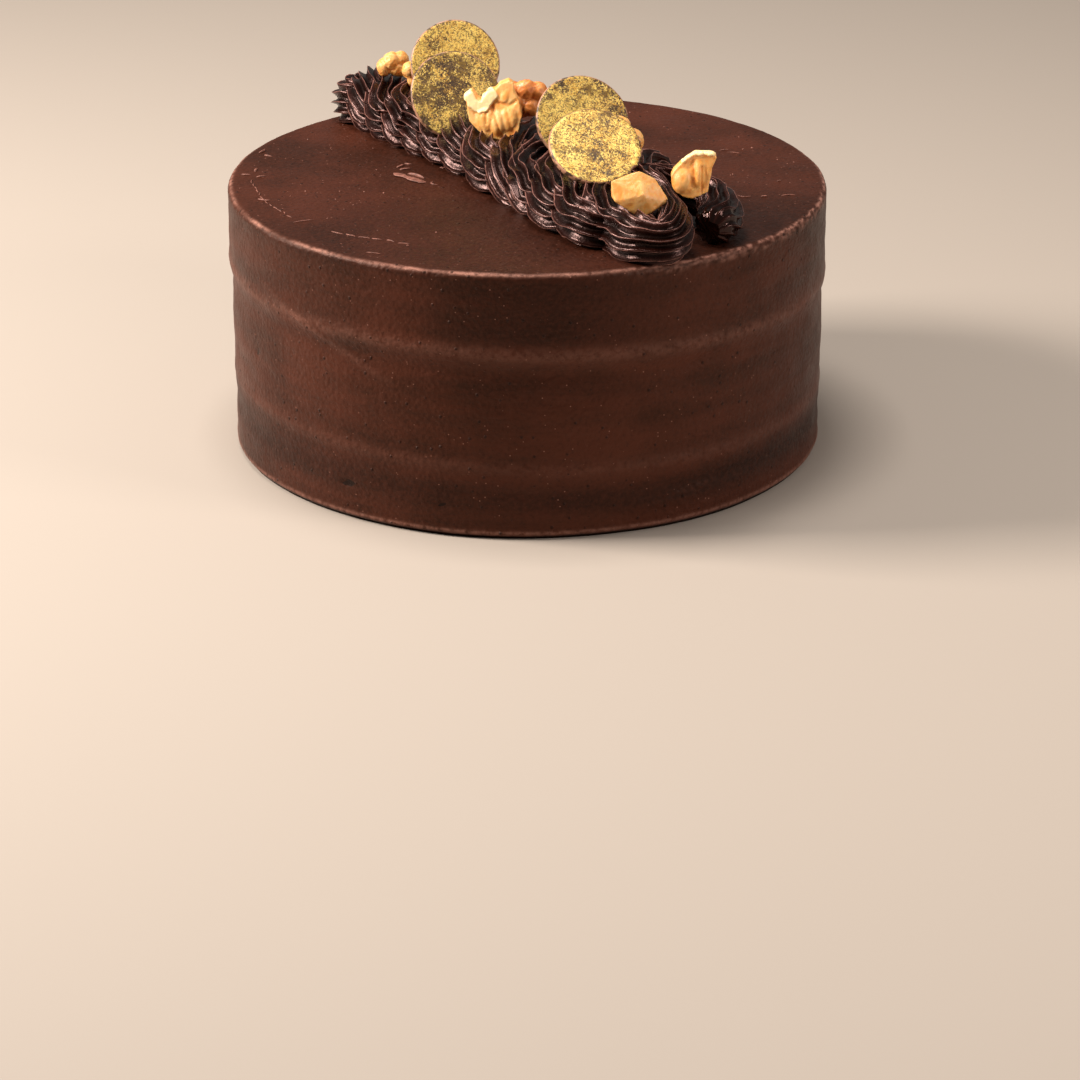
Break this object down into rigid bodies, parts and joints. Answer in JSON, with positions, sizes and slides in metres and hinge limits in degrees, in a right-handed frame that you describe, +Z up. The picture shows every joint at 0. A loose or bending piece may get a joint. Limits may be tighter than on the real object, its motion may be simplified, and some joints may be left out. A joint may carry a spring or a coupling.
{
  "type": "chocolate walnut cake",
  "caption": "Tall round cake in smooth chocolate icing with a piped chocolate rope across the top, dressed with gold-dusted chocolate discs and walnut pieces",
  "frame": {"origin": "middle of the cake's flat base", "axes": "X to the right and Y away from the viewer of the picture, Z up; the piped rope runs from the back left to the front right"},
  "size_m": [0.2003, 0.2002, 0.1308],
  "materials": {
    "chocolate_icing": "smooth scraped chocolate icing with a soft sheen",
    "piped_chocolate": "ridged glossy dark chocolate piping",
    "gold_dusted_chocolate": "dark chocolate with gold dust flecks",
    "pale_walnut": "pale skinned walnut kernel, slightly oily",
    "brown_walnut": "brown skinned walnut kernel, slightly oily"
  },
  "bodies": {
    "root": {"cake": "chocolate_icing", "piped_rope": "piped_chocolate", "chocolate_disc_back_left": "gold_dusted_chocolate", "chocolate_disc_front_left": "gold_dusted_chocolate", "chocolate_disc_back_right": "gold_dusted_chocolate", "chocolate_disc_front_right": "gold_dusted_chocolate", "walnut_piece_back_left": "pale_walnut", "walnut_piece_left": "pale_walnut", "walnut_piece_middle_front": "pale_walnut", "walnut_piece_middle_back": "brown_walnut", "walnut_piece_right_back": "pale_walnut", "walnut_chip_front": "pale_walnut", "walnut_chip_right": "pale_walnut"}
  },
  "joints": []
}
